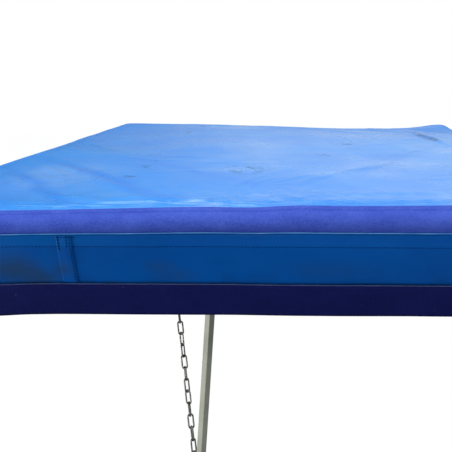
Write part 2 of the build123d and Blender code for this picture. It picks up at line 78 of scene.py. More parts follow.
def grain(points, scale, seed):
    """Smooth noise from -1 to 1 at each point; scale is in cycles a metre."""
    shift = Vector((seed * 7.3, seed * -3.1, seed * 5.7))
    step = Vector(scale)
    return np.array([noise.noise(Vector(p) * step + shift) for p in points.tolist()])


def near_sag(x, y):
    """How far the front roll has settled; the seam under it hardly follows."""
    left = 0.012 * smooth(0.2, 0.8, -x) + 0.0028 * np.exp(-(((x + 0.3) / 0.06) ** 2))
    worn = 0.0022 * (1 - smooth(-0.12, 0.05, x))
    return (left + worn - 0.0008 * smooth(-0.05, 0.1, x)) * smooth(0.55, HALF_Y, -y)


def sag(x, y, height):
    """How far the mat has settled, in metres, where years of landings have softened the foam;
    height is a share of the mat's thickness."""
    far = 0.022 * bump(x, y, (0.42, HALF_Y), (0.62, 0.55))
    right = 0.014 * bump(x, y, (HALF_X, 0.72), (0.25, 0.3))
    corner = 0.024 * bump(x, y, (HALF_X - 0.02, HALF_Y - 0.02), (0.15, 0.11))
    middle = 0.007 * bump(x, y, (0.1, -0.05), (0.55, 0.5))
    return (far + right - corner + middle) * height**1.3 + near_sag(x, y) * height**4.7


def foot_lift(x, y):
    """How the mat's lower edge waves along the front."""
    raised = 0.0018 * smooth(-0.71, -0.62, x) * (1 - smooth(-0.36, -0.2, x))
    return (raised - 0.0036 * (1 - smooth(-0.76, -0.68, x))) * front_share(y)


def front_share(y):
    """1 along the front edge, where the band rolls over onto the top, and 0 on the other sides."""
    return 1 - smooth(0.045, 0.16, HALF_Y + np.asarray(y, float))


def outline_frame(points):
    """Inset from the mat's outline and the outward direction, at each point."""
    core = np.array([HALF_X - CORNER_RADIUS, HALF_Y - CORNER_RADIUS])
    flat = points[:, :2]
    beyond = np.abs(flat) - core
    outside = np.maximum(beyond, 0)
    reach = np.linalg.norm(outside, axis=1)
    inset = CORNER_RADIUS - reach - np.minimum(beyond.max(1), 0)
    axis = np.zeros_like(flat)
    axis[np.arange(len(flat)), beyond.argmax(1)] = 1
    rounded = reach > 1e-9
    axis[rounded] = outside[rounded] / reach[rounded, None]
    return inset, axis * np.sign(flat)


def settle(points):
    """Moves ideal points of the mat to where the used one has them: sagged, wavy and puffed."""
    points = np.array(points, float)
    x, y, z = points.T
    height = np.clip((z - BASE_Z) / THICKNESS, 0, 1)
    inset, outward = outline_frame(points)
    edge = np.exp(-((inset / 0.05) ** 2))
    back = smooth(HALF_Y - 0.08, HALF_Y - 0.02, y)
    calm = 1 - 0.9 * back * smooth(0.25, 0.35, height) * (1 - smooth(0.68, 0.75, height))
    slow = grain(points, (2.6, 2.6, 3.0), 1)
    quick = grain(points, (9.0, 9.0, 14.0), 2)
    side = edge * calm * (0.0016 * slow + 0.0011 * quick)
    front = front_share(y) * smooth(-0.75, -0.3, x)
    side -= 0.006 * front * edge * np.exp(-(((z - UPPER_SEAM_Z) / 0.014) ** 2))
    waves = 0.0022 * grain(points, (3.4, 3.4, 0.5), 3) + 0.0009 * grain(points, (13, 13, 1), 4)
    droop = (1 - height) * edge * (foot_lift(x, y) + 0.0012 * grain(points, (2.2, 2.2, 0.3), 5))
    moved = points.copy()
    moved[:, :2] += outward * side[:, None]
    moved[:, 2] += height * waves * edge + droop - sag(x, y, height)
    return moved


def outline():
    """Stations round the outline: place, outward direction, and distance along."""
    stations = []
    r = CORNER_RADIUS
    centres = [
        (HALF_X - r, -HALF_Y + r, -90),
        (HALF_X - r, HALF_Y - r, 0),
        (-HALF_X + r, HALF_Y - r, 90),
        (-HALF_X + r, -HALF_Y + r, 180),
    ]
    turns = 12
    for n, (cx, cy, start) in enumerate(centres):
        for k in range(turns + 1):
            a = math.radians(start + 90 * k / turns)
            stations.append((cx + r * math.cos(a), cy + r * math.sin(a), math.cos(a), math.sin(a)))
        nx, ny, after = centres[(n + 1) % 4]
        a = math.radians(after)
        end = np.array([nx + r * math.cos(a), ny + r * math.sin(a)])
        begin = np.array(stations[-1][:2])
        count = int(np.linalg.norm(end - begin) / STATION_GAP)
        for k in range(1, count):
            p = begin + (end - begin) * k / count
            stations.append((p[0], p[1], math.cos(a), math.sin(a)))
    return np.array(stations)


STATIONS = outline()


# --- mesh helpers


def make_object(name, verts, faces, material):
    mesh = bpy.data.meshes.new(name)
    mesh.from_pydata([tuple(v) for v in verts], [], faces)
    mesh.update()
    mesh.materials.append(material)
    mesh.polygons.foreach_set("use_smooth", [True] * len(mesh.polygons))
    made = bpy.data.objects.new(name, mesh)
    bpy.context.scene.collection.objects.link(made)
    return made


def loop_faces(stations, ring):
    """Quads of a closed ring-shaped tube: ring points at each of so many stations."""
    faces = []
    for s in range(stations):
        after = (s + 1) % stations
        for k in range(ring):
            far = (k + 1) % ring
            faces.append((s * ring + k, after * ring + k, after * ring + far, s * ring + far))
    return faces


def ring_points(profile, side_profile=None):
    """Sweeps a profile of (inset, height) pairs round the outline; on the sides and the back it
    turns into side_profile, where there is one."""
    profile = np.array(profile)[None]
    other = profile if side_profile is None else np.array(side_profile)[None]
    share = front_share(STATIONS[:, 1])[:, None, None]
    shape = profile * share + other * (1 - share)
    place = STATIONS[:, None, :2] - STATIONS[:, None, 2:] * shape[:, :, :1]
    return np.concatenate([place, shape[:, :, 1:]], axis=2).reshape(-1, 3)


def mat_ring(name, profile, material, side_profile=None):
    """A piece that runs right round the mat, from a closed profile."""
    points = settle(ring_points(profile, side_profile))
    return make_object(name, points, loop_faces(len(STATIONS), len(profile)), material)


def slab_grid(half_x, half_y, radius, count, edge=0.0, edge_rows=0):
    """A square grid over a rounded rectangle, with extra rows within edge of its outline.
    At the corners the rows bend into quarter circles."""
    inner = np.linspace(edge / half_x - 1, 1 - edge / half_x, count - 2 * edge_rows)
    rows = np.linspace(0, edge / half_x, edge_rows + 1)[:-1]
    t = np.concatenate([rows - 1, inner, (1 - rows)[::-1]])
    x, y = np.meshgrid(t * half_x, t * half_y, indexing="ij")
    a = np.clip((np.abs(x) - half_x + radius) / radius, 0, 1)
    b = np.clip((np.abs(y) - half_y + radius) / radius, 0, 1)
    far, near = np.maximum(a, b), np.minimum(a, b)
    turn = math.pi / 4 * near / np.maximum(far, 1e-9)
    along_x = np.where(a >= b, far * np.cos(turn), far * np.sin(turn))
    along_y = np.where(a >= b, far * np.sin(turn), far * np.cos(turn))
    corner = (a > 0) & (b > 0)
    x = np.where(corner, np.sign(x) * (half_x - radius + radius * along_x), x)
    y = np.where(corner, np.sign(y) * (half_y - radius + radius * along_y), y)
    return x, y


def at_height(x, y, z):
    """The points of a grid, at one height."""
    return np.column_stack([x.ravel(), y.ravel(), np.full(x.size, z)])


def grid_faces(rows, columns, start=0, flip=False):
    faces = []
    for i in range(rows - 1):
        for j in range(columns - 1):
            a = start + i * columns + j
            quad = (a, a + columns, a + columns + 1, a + 1)
            faces.append(quad[::-1] if flip else quad)
    return faces


def closed_sheet(name, upper, lower, rows, columns, material):
    """A solid sheet between two grids of points, with its edge closed."""
    verts = np.concatenate([upper, lower])
    n = rows * columns
    faces = grid_faces(rows, columns) + grid_faces(rows, columns, n, flip=True)
    rim = list(range(columns))
    rim += [i * columns + columns - 1 for i in range(1, rows)]
    rim += [(rows - 1) * columns + j for j in range(columns - 2, -1, -1)]
    rim += [i * columns for i in range(rows - 2, 0, -1)]
    for k, a in enumerate(rim):
        b = rim[(k + 1) % len(rim)]
        faces.append((a, b, b + n, a + n))
    return make_object(name, verts, faces, material)


def join_meshes(name, parts, material):
    """One object from many (verts, faces) pairs."""
    verts, faces, start = [], [], 0
    for points, own in parts:
        verts.append(np.asarray(points, float))
        faces += [tuple(start + i for i in face) for face in own]
        start += len(points)
    return make_object(name, np.concatenate(verts), faces, material)


# --- material helpers


class Shader:
    """A material's node tree, built a line at a time."""

    def __init__(self, name, roughness, metallic=0.0):
        self.material = bpy.data.materials.new(name)
        self.material.use_nodes = True
        self.tree = self.material.node_tree
        self.bsdf = self.tree.nodes["Principled BSDF"]
        self.bsdf.inputs["Roughness"].default_value = roughness
        self.bsdf.inputs["Metallic"].default_value = metallic
        self.place = self.tree.nodes.new("ShaderNodeTexCoord").outputs["Object"]

    def node(self, kind, **sockets):
        made = self.tree.nodes.new(kind)
        for key, value in sockets.items():
            self.feed(made.inputs[key.replace("_", " ")], value)
        return made

    def feed(self, socket, value):
        """Links a socket to another node's output, or gives it a constant."""
        if isinstance(value, bpy.types.NodeSocket):
            self.tree.links.new(value, socket)
        else:
            socket.default_value = value

    def set(self, name, value):
        self.feed(self.bsdf.inputs[name], value)

    def stretched(self, scale, turn=0.0):
        where = self.node("ShaderNodeMapping", Vector=self.place, Scale=scale, Rotation=(0, 0, turn))
        return where.outputs["Vector"]

    def noise(self, scale, detail=3.0, roughness=0.5, where=None, distortion=0.0):
        made = self.node("ShaderNodeTexNoise", Vector=where or self.place, Scale=scale, Detail=detail)
        self.feed(made.inputs["Roughness"], roughness)
        self.feed(made.inputs["Distortion"], distortion)
        return made.outputs["Fac"]

    def remap(self, value, low, high, to_low=0.0, to_high=1.0):
        made = self.node("ShaderNodeMapRange", Value=value, From_Min=low, From_Max=high)
        self.feed(made.inputs["To Min"], to_low)
        self.feed(made.inputs["To Max"], to_high)
        made.interpolation_type = "SMOOTHSTEP"
        return made.outputs["Result"]

    def patches(self, limits, *how, **more):
        """Noise of the given kind, stretched between limits."""
        return self.remap(self.noise(*how, **more), *limits)

    def math(self, kind, a, b=0.0, c=None):
        made = self.tree.nodes.new("ShaderNodeMath")
        made.operation = kind
        for n, value in enumerate((a, b) if c is None else (a, b, c)):
            self.feed(made.inputs[n], value)
        return made.outputs[0]

    def times(self, a, b):
        return self.math("MULTIPLY", a, b)

    def mix(self, factor, a, b):
        made = self.tree.nodes.new("ShaderNodeMix")
        made.data_type = "RGBA"
        for key, value in (("Factor", factor), ("A", a), ("B", b)):
            socket = [s for s in made.inputs if s.name == key and s.enabled][0]
            self.feed(socket, (*value, 1.0) if isinstance(value, tuple) else value)
        return [s for s in made.outputs if s.enabled][0]

    def tint(self, colour, mask, strength, other):
        return self.mix(self.times(mask, strength), colour, other)

    def axes(self):
        return self.node("ShaderNodeSeparateXYZ", Vector=self.place).outputs

    def bump(self, height, distance, strength, **under):
        made = self.node("ShaderNodeBump", Height=height, Distance=distance, Strength=strength, **under)
        return made.outputs["Normal"]

    def vector(self, kind, a, b=(0, 0, 0)):
        made = self.node("ShaderNodeVectorMath", Vector=a)
        made.operation = kind
        made.inputs[1].default_value = b
        return made.outputs

    def spot(self, centre, size):
        """1 at a place on the object, falling to 0 at its size along X, Y and Z."""
        away = self.vector("SUBTRACT", self.place, centre)[0]
        share = self.vector("DIVIDE", away, size)[0]
        return self.remap(self.vector("LENGTH", share)["Value"], 0.0, 1.0, 1.0, 0.0)


def scrim(shader, pitch):
    """The woven scrim that shows faintly through coated vinyl."""
    turns = 2 * math.pi / pitch
    waves = [shader.math("SINE", shader.times(axis, turns)) for axis in shader.axes()]
    across = shader.math("ADD", waves[0], waves[2])
    return shader.times(across, shader.math("ADD", waves[1], 1.0))


SCUFFS = (
    # where the wear is, and how far it spreads along X and Y
    ((-0.552, -0.643), (0.034, 0.022)),
    ((-0.54, -0.51), (0.022, 0.04)),
    ((-0.552, -0.45), (0.022, 0.04)),
    ((-0.519, -0.416), (0.022, 0.02)),
    ((-0.509, 0.466), (0.03, 0.2)),
    ((-0.46, 0.76), (0.03, 0.06)),
    ((-0.551, -0.832), (0.022, 0.014)),
    ((-0.03, -0.249), (0.04, 0.06)),
    ((-0.285, -0.535), (0.09, 0.1)),
    ((0.12, 0.05), (0.06, 0.06)),
)
FADED_AND_SHEEN_PATCHES = (
    # pale patches, partly faded wear and partly painted reflection of the bright haze: where each is, how far
    # it spreads along X and Y, and how strong it is
    ((-0.22, 0.02), (0.2, 0.55), 0.55),
    ((-0.05, -0.6), (0.16, 0.07), 0.6),
    ((-0.35, -0.55), (0.2, 0.05), 0.45),
    ((0.55, -0.1), (0.45, 0.8), 0.3),
    ((-0.25, 0.75), (0.3, 0.2), 0.4),
    ((-0.74, -0.64), (0.24, 0.26), 0.42),
    ((0.16, -0.46), (0.34, 0.22), 0.45),
    ((0.06, -0.83), (0.26, 0.12), 0.55),
    ((-0.28, -0.4), (0.22, 0.18), 0.35),
    ((-0.268, -0.812), (0.036, 0.022), 0.7),
    ((-0.24, -0.842), (0.034, 0.02), 0.9),
    ((-0.214, -0.868), (0.034, 0.018), 1.00),
    ((-0.362, -0.872), (0.036, 0.016), 0.8),
    ((-0.392, -0.856), (0.034, 0.014), 0.6),
)
CREASE_PAINTED_SHADE = (
    # painted shade along the sharp wrinkle by the far right corner
    ((0.618, 0.545), (0.02, 0.075)),
    ((0.58, 0.45), (0.022, 0.07)),
    ((0.556, 0.37), (0.026, 0.06)),
    ((0.546, 0.3), (0.022, 0.055)),
    ((0.526, 0.22), (0.022, 0.06)),
    ((0.522, 0.15), (0.018, 0.05)),
)
CREASE_SHINE = (((0.655, 0.67), (0.03, 0.09)),)
FOLD_SHADE_BANDS = (
    # painted shade of soft folds: x + y along the band's middle, and its half width
    (-1.262, 0.05),
    (-1.45, 0.04),
    (-0.985, 0.035),
)


def scattered(m, places):
    """The sum of soft spots on the top, as one mask."""
    total = 0.0
    for place, spread in places:
        total = m.math("ADD", total, m.spot((*place, TOP_Z), (*spread, 1)))
    return m.math("MINIMUM", total, 1.0)


def worn_blue_with_painted_sheen(m):
    """The top's colour before its dirt: patchy, streaked, and paler in patches, partly where it is worn and
    partly as painted reflection of the bright haze.
    """
    colour = m.mix(m.patches((0.35, 0.7), 2.2, 4, 0.55), (0.032, 0.29, 0.94), (0.054, 0.35, 0.98))
    streaks = m.patches((0.52, 0.78), 3, 3, 0.6, m.stretched((1, 5, 1), 0.9), 0.6)
    colour = m.tint(colour, streaks, 0.2, (0.2, 0.48, 0.98))
    cloud = m.patches((0.3, 0.7), 5, 4, 0.6, m.stretched((1, 0.6, 1), 0.4), 0.8)
    # pale patches: partly faded wear, partly painted reflection of the bright haze
    for place, spread, strength in FADED_AND_SHEEN_PATCHES:
        spot = m.spot((*place, TOP_Z), (*spread, 1))
        colour = m.tint(colour, spot, m.times(cloud, strength), (0.36, 0.58, 0.98))
    return colour


def painted_fold_shade(m, colour):
    """Darker, more saturated diagonal bands: painted shade of soft folds in the sheet."""
    x, y = m.axes()[:2]
    wander = m.patches((0.3, 0.7, -0.02, 0.02), 4, 2)
    diagonal = m.math("ADD", m.math("ADD", x, y), wander)
    near = m.spot((-0.56, -0.66, TOP_Z), (0.6, 0.48, 1))
    for middle, half in FOLD_SHADE_BANDS:
        away = m.math("ABSOLUTE", m.math("SUBTRACT", diagonal, middle))
        band = m.times(m.remap(away, 0.0, half, 1.0, 0.0), near)
        # painted fold shade
        colour = m.tint(colour, band, 0.6, (0.012, 0.24, 0.95))
    return colour


def sewn_edge(m):
    """1 on the sheet's turned edge at the sides and the back."""
    x, y = m.axes()[:2]
    side = m.remap(m.math("ABSOLUTE", x), HALF_X - 0.0075, HALF_X - 0.0035)
    return m.math("MAXIMUM", side, m.remap(y, HALF_Y - 0.0075, HALF_Y - 0.0035))


def top_vinyl():
    """Glossy, scuffed blue vinyl."""
    m = Shader("top_vinyl", 0.3)
    colour = painted_fold_shade(m, worn_blue_with_painted_sheen(m))
    rubs = m.patches((0.5, 0.57), 46, 5, 0.68, m.stretched((1, 0.7, 1), -0.5))
    rubs = m.times(rubs, scattered(m, SCUFFS))
    colour = m.tint(colour, rubs, 0.8, (0.03, 0.125, 0.36))
    # painted shade: darkens the top along the corner wrinkle
    colour = m.mix(scattered(m, CREASE_PAINTED_SHADE), colour, (0.02, 0.09, 0.26))
    colour = m.mix(scattered(m, CREASE_SHINE), colour, (0.8, 0.9, 1.0))
    hairs = m.patches((0.67, 0.71), 16, 8, 0.8, m.stretched((1, 14, 1), 0.35), 1.2)
    colour = m.tint(colour, hairs, 0.22, (0.36, 0.58, 0.92))
    colour = m.tint(colour, m.patches((0.55, 0.8), 6, 6, 0.65), 0.1, (0.1, 0.22, 0.5))
    m.set("Base Color", m.tint(colour, sewn_edge(m), 0.7, (0.11, 0.14, 0.26)))
    rough = m.patches((0.3, 0.7, 0.24, 0.38), 5, 4)
    m.set("Roughness", m.math("ADD", rough, m.times(rubs, 0.25)))
    m.set("Coat Weight", 0.25)
    m.set("Coat Roughness", 0.28)
    fine = m.bump(scrim(m, 0.0026), 0.00006, 0.5)
    m.set("Normal", m.bump(m.noise(26, 5, 0.6), 0.0012, 0.28, Normal=fine))
    return m.material


WALL_SMUDGES = (
    # along X, height, how wide, how tall, how strong
    (-0.7, 0.99, 0.12, 0.045, 0.85),
    (-0.655, 0.972, 0.05, 0.03, 0.7),
    (-0.615, 0.992, 0.03, 0.018, 0.55),
    (-0.53, 0.962, 0.022, 0.014, 0.6),
    (-0.455, 0.998, 0.055, 0.018, 0.5),
    (-0.42, 0.98, 0.06, 0.02, 0.4),
    (-0.15, 0.99, 0.16, 0.03, 0.25),
)


def side_vinyl():
    """The darker blue vinyl of the wall, with hand and floor dirt."""
    m = Shader("side_vinyl", 0.4)
    tone = m.patches((0.3, 0.7), 3.5, 4, 0.55)
    colour = m.mix(tone, (0.0003, 0.064, 0.296), (0.0005, 0.079, 0.342))
    clouds = m.patches((0.5, 0.72), 9.0, 5.0, 0.6, m.stretched((1, 1, 1.8)))
    colour = m.tint(colour, clouds, 0.35, (0.0006, 0.046, 0.195))
    x, _, z = m.axes()
    above = m.remap(z, UPPER_SEAM_Z - STITCH_DROP - 0.001, UPPER_SEAM_Z - STITCH_DROP + 0.001)
    left = m.remap(x, -0.75, -0.4, 0.45, 0.08)
    colour = m.tint(colour, above, left, (0.0008, 0.11, 0.39))
    rag = m.patches((0.28, 0.58), 16, 5)
    for at, height, wide, tall, strength in WALL_SMUDGES:
        smudge = m.times(m.spot((at, -HALF_Y, height), (wide, 0.2, tall)), rag)
        colour = m.tint(colour, smudge, strength, (0.013, 0.046, 0.12))
    low = m.remap(z, LOWER_SEAM_Z, LOWER_SEAM_Z + 0.03, 1.0, 0.0)
    low = m.times(low, m.patches((0.4, 0.7), 22, 5))
    colour = m.tint(colour, low, 0.3, (0.004, 0.035, 0.14))
    m.set("Base Color", colour)
    m.set("Roughness", m.patches((0.3, 0.7, 0.42, 0.6), 12, 5))
    m.set("Specular IOR Level", 0.06)
    fine = m.bump(scrim(m, 0.0024), 0.00008, 0.35)
    m.set("Normal", m.bump(m.noise(30, 4, 0.6), 0.0009, 0.3, Normal=fine))
    return m.material


def loop_fabric(name, dark, light, dust, sheen):
    """Brushed loop pile: matt, fuzzy and a little pilled."""
    m = Shader(name, 0.95)
    pile = m.noise(330, 4, 0.75)
    patches = m.noise(17.0, 4.0, 0.6, m.stretched((1, 1, 1.6)))
    blend = m.math("MULTIPLY_ADD", patches, 0.4, m.times(pile, 0.6))
    colour = m.mix(m.remap(blend, 0.36, 0.64), dark, light)
    specks = m.patches((0.785, 0.81), 190, 1, 0.5)
    colour = m.mix(m.times(specks, 0.45), colour, dust)
    m.set("Base Color", colour)
    m.set("Specular IOR Level", 0.12)
    m.set("Sheen Weight", sheen)
    m.set("Sheen Roughness", 0.45)
    m.set("Sheen Tint", (*light, 1.0))
    loops = m.node("ShaderNodeTexVoronoi", Vector=m.place, Scale=700.0).outputs["Distance"]
    fine = m.bump(loops, 0.0006, 0.8)
    m.set("Normal", m.bump(m.math("ADD", patches, m.times(pile, 0.5)), 0.0012, 0.5, Normal=fine))
    return m.material


def plain_cloth(name, dark, light, pitch, sheen=0.2):
    """A woven band or tape: two crossed ribs and a little colour change."""
    m = Shader(name, 0.8)
    x, y, z = m.axes()
    turns = 2 * math.pi / pitch
    warp = m.math("SINE", m.times(z, turns))
    weft = m.math("SINE", m.times(m.math("ADD", x, y), turns * 0.7))
    weave = m.times(warp, weft)
    colour = m.mix(m.remap(weave, -1.0, 1.0), dark, light)
    fluff = m.times(m.patches((0.5, 0.75), 40, 4), 0.4)
    colour = m.mix(fluff, colour, tuple(c * 1.6 + 0.002 for c in light))
    m.set("Base Color", colour)
    m.set("Sheen Weight", sheen)
    m.set("Specular IOR Level", sheen)
    m.set("Normal", m.bump(weave, 0.00035, 0.8))
    return m.material


def moulded(name, dark, light, roughness, grain_scale=300.0):
    """Moulded plastic or rubber with a fine grain and some dust."""
    m = Shader(name, roughness)
    colour = m.mix(m.patches((0.35, 0.7), 30, 5), dark, light)
    m.set("Base Color", colour)
    rough = m.patches((0.3, 0.7, roughness - 0.08, min(roughness + 0.12, 1.0)), 60.0, 4.0)
    m.set("Roughness", rough)
    m.set("Normal", m.bump(m.noise(grain_scale, 3), 0.0003, 0.4))
    return m.material


def deck_paint():
    """Pale stone-grey enamel on steel tube, chipped and a little rusty."""
    m = Shader("deck_paint", 0.42)
    tone = m.patches((0.3, 0.7), 12, 5)
    colour = m.mix(tone, (0.395, 0.402, 0.318), (0.474, 0.474, 0.39))
    grime = m.patches((0.55, 0.75), 45.0, 6.0, 0.7, m.stretched((1, 1, 0.35)))
    colour = m.tint(colour, grime, 0.45, (0.2, 0.19, 0.14))
    chips = m.patches((0.7, 0.72), 120, 6, 0.7)
    colour = m.mix(chips, colour, (0.13, 0.11, 0.09))
    rust = m.patches((0.68, 0.74), 70, 6, 0.75)
    colour = m.tint(colour, rust, 0.7, (0.17, 0.06, 0.02))
    m.set("Base Color", colour)
    rough = m.patches((0.3, 0.7, 0.3, 0.45), 20, 4)
    m.set("Roughness", m.math("ADD", rough, m.times(chips, 0.25)))
    relief = m.math("SUBTRACT", m.noise(90, 3), m.times(chips, 0.8))
    m.set("Normal", m.bump(relief, 0.0004, 0.4))
    return m.material


def zinc(name, tint, rust_share):
    """Bright zinc plating gone dull, with white bloom and rust in the corners."""
    m = Shader(name, 0.42, 0.85)
    spangle = m.node("ShaderNodeTexVoronoi", Vector=m.place, Scale=230.0).outputs["Distance"]
    colour = m.mix(m.remap(spangle, 0.0, 0.7), tuple(c * 0.72 for c in tint), tint)
    bloom = m.patches((0.5, 0.72), 60, 5)
    colour = m.tint(colour, bloom, 0.4, (0.42, 0.42, 0.38))
    rust = m.patches((0.62 - rust_share, 0.74 - rust_share), 95, 6, 0.7)
    colour = m.tint(colour, rust, 0.75, (0.12, 0.055, 0.025))
    m.set("Base Color", colour)
    m.set("Metallic", m.math("SUBTRACT", 0.85, m.times(rust, 0.6)))
    m.set("Roughness", m.patches((0.3, 0.7, 0.32, 0.58), 80, 5))
    m.set("Normal", m.bump(m.noise(210, 5, 0.6), 0.0004, 0.5))
    return m.material


PLY = 0.0048  # two plies of the board


def plywood():
    """Birch plywood: long grain on the faces and glued plies on the edges."""
    m = Shader("plywood", 0.5)
    where = m.stretched((14, 0.9, 14))
    rings = m.node("ShaderNodeTexWave", Vector=where, Scale=1.4, Distortion=5.0)
    rings.inputs["Detail"].default_value = 4.0
    grain_lines = rings.outputs["Fac"]
    face = m.mix(grain_lines, (0.42, 0.27, 0.13), (0.58, 0.41, 0.22))
    face = m.mix(m.times(m.patches((0.5, 0.7), 3, 5), 0.35), face, (0.28, 0.17, 0.08))
    plies = m.math("SINE", m.times(m.axes()[2], 2 * math.pi / PLY))
    edge = m.mix(m.remap(plies, -0.2, 0.3), (0.2, 0.11, 0.05), (0.5, 0.35, 0.19))
    normal = m.node("ShaderNodeNewGeometry").outputs["Normal"]
    up = m.math("ABSOLUTE", m.node("ShaderNodeSeparateXYZ", Vector=normal).outputs[2])
    m.set("Base Color", m.mix(m.remap(up, 0.4, 0.7), edge, face))
    m.set("Roughness", m.patches((0.3, 0.7, 0.42, 0.62), 25, 4))
    m.set("Normal", m.bump(m.math("ADD", grain_lines, m.noise(160, 4)), 0.0003, 0.5))
    return m.material


def foam_material():
    """Open-cell foam."""
    m = Shader("open_cell_foam", 0.95)
    cells = m.node("ShaderNodeTexVoronoi", Vector=m.place, Scale=420.0).outputs["Distance"]
    m.set("Base Color", m.mix(m.remap(cells, 0.0, 0.6), (0.5, 0.46, 0.32), (0.7, 0.66, 0.5)))
    m.set("Normal", m.bump(cells, 0.0015, 0.8))
    return m.material


MATERIALS = {
    "top": top_vinyl(),
    "side": side_vinyl(),
    "purple": loop_fabric("purple_loop", (0.044, 0.083, 0.5), (0.082, 0.144, 0.66), (0.35, 0.36, 0.7), 0.3),
    # the lower band: the purple loop fabric coloured far darker, as painted shade
    "purple_painted_shade": loop_fabric("navy_loop", (0.0026, 0.0048, 0.06), (0.005, 0.0082, 0.086), (0.12, 0.12, 0.22), 0.1),
    "light_piping": moulded("light_piping", (0.05, 0.26, 0.66), (0.1, 0.36, 0.74), 0.4),
    "dark_piping": moulded("dark_piping", (0.02, 0.04, 0.15), (0.035, 0.055, 0.19), 0.5),
    "thread": plain_cloth("thread", (0.0003, 0.01, 0.06), (0.0005, 0.015, 0.085), 0.0008, 0.02),
    "webbing": plain_cloth("webbing", (0.006, 0.007, 0.018), (0.014, 0.016, 0.035), 0.0022),
    "tape": plain_cloth("zip_tape", (0.004, 0.01, 0.045), (0.008, 0.018, 0.07), 0.0014),
    "coil": moulded("zip_nylon", (0.004, 0.006, 0.018), (0.01, 0.013, 0.03), 0.35),
    "base": moulded("base_vinyl", (0.006, 0.009, 0.03), (0.012, 0.017, 0.05), 0.6, 500.0),
    "paint": deck_paint(),
    "zinc": zinc("dull_zinc", (0.36, 0.37, 0.34), 0.0),
    "chain": zinc("chain_zinc", (0.24, 0.245, 0.22), 0.06),
    "brass": zinc("eyelet_nickel", (0.62, 0.6, 0.55), -0.05),
    "plywood": plywood(),
    "foam": foam_material(),
    "rubber": moulded("foot_rubber", (0.01, 0.01, 0.01), (0.03, 0.029, 0.027), 0.8),
    "cap": moulded("cap_plastic", (0.012, 0.012, 0.013), (0.028, 0.028, 0.03), 0.45),
}


# --- mat pieces


def arc(centre, radius, start, end, count):
    """Points of an arc, as (inset, height) pairs; angles in degrees, 0 pointing outward."""
    angles = np.radians(np.linspace(start, end, count))
    return [(centre[0] - radius * math.cos(a), centre[1] + radius * math.sin(a)) for a in angles]


BAND_START = -78  # degrees round the roll, from the upper seam
BAND_POINTS = 43


def upper_band():
    """The purple loop band: a soft roll over the front edge, and a flat band on the other sides."""
    middle = UPPER_SEAM_Z + 0.0215
    front, side = [], []
    for a in np.radians(np.linspace(BAND_START, 90, BAND_POINTS)):
        depth, height = (0.012, 0.021) if a < 0 else (0.026, TOP_Z + 0.0012 - middle)
        groove = 0.002 * math.exp(-(((math.degrees(a) - 58) / 4) ** 2))
        front.append((depth * (1 - math.cos(a)) + groove, middle + height * math.sin(a) - groove))
        share = (a - math.radians(BAND_START)) / math.radians(90 - BAND_START)
        flat = 0.0002 + 0.003 * (2 * share - 1) ** 4
        side.append((flat, BAND_FOOT + share * SIDE_BAND_HEIGHT))
    front += [(FRONT_SEAM_INSET - 0.0005, TOP_Z - 0.0035), (FRONT_SEAM_INSET - 0.002, TOP_Z - 0.009)]
    front += [(0.016, TOP_Z - 0.014), (0.01, TOP_Z - 0.026), (0.0095, BAND_FOOT)]
    top = BAND_FOOT + SIDE_BAND_HEIGHT
    side += [(0.0045, top), (0.0055, top - 0.002), (0.0058, top - 0.006), (0.006, top - 0.014)]
    side += [(0.0062, BAND_FOOT)]
    made = mat_ring("upper_loop_band_roll", front, MATERIALS["purple"], side)
    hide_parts("upper_loop_band")
    return made


def lower_band():
    """The loop band round the mat's foot: the purple band's fabric, coloured dark navy as painted shade where
    it tucks under.
    """
    height = LOWER_SEAM_Z - BASE_Z
    curl = arc((0.011, BASE_Z + 0.011), 0.011, -88, -10, 8)
    straight = []
    for t in np.linspace(0, 1, 9):
        inset = 0.003 - 0.003 * math.sin(math.pi * (0.35 + 0.58 * t))
        straight.append((inset, BASE_Z + 0.012 + t * (height - 0.0132)))
    inner = [(0.0065, LOWER_SEAM_Z - 0.001), (0.0065, BASE_Z + 0.02), (0.012, BASE_Z + 0.004)]
    inner += [(0.02, BASE_Z + 0.0035), (0.02, BASE_Z + 0.0005)]
    made = mat_ring("lower_loop_band_skirt", curl + straight + inner, MATERIALS["purple_painted_shade"])
    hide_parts("lower_loop_band")
    return made


def wall_inset(t):
    """How far in the wall's face lies at a share t of its height."""
    return WALL_INSET + 0.0006 - 0.001 * math.sin(math.pi * t)


def side_wall():
    """The vinyl wall between the two bands."""
    low, high = LOWER_SEAM_Z + 0.0005, UPPER_SEAM_Z + 0.001
    share = np.linspace(0, 1, 15)
    face = [(wall_inset(t), low + t * (high - low)) for t in share]
    inner = [(wall_inset(t) + 0.0018, low + t * (high - low)) for t in share[::-2]]
    made = mat_ring("side_wall_vinyl", face + inner, MATERIALS["side"])
    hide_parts("cover_side_wall")
    return made


def piping(which, height, inset, radius, material):
    """A corded welt in a seam."""
    ring = arc((inset, height), radius, 0, 360, 9)[:-1]
    made = mat_ring(f"{which}_piping_cord", ring, material)
    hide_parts(f"{which}_piping")
    return made


STITCH_SIDES = 6


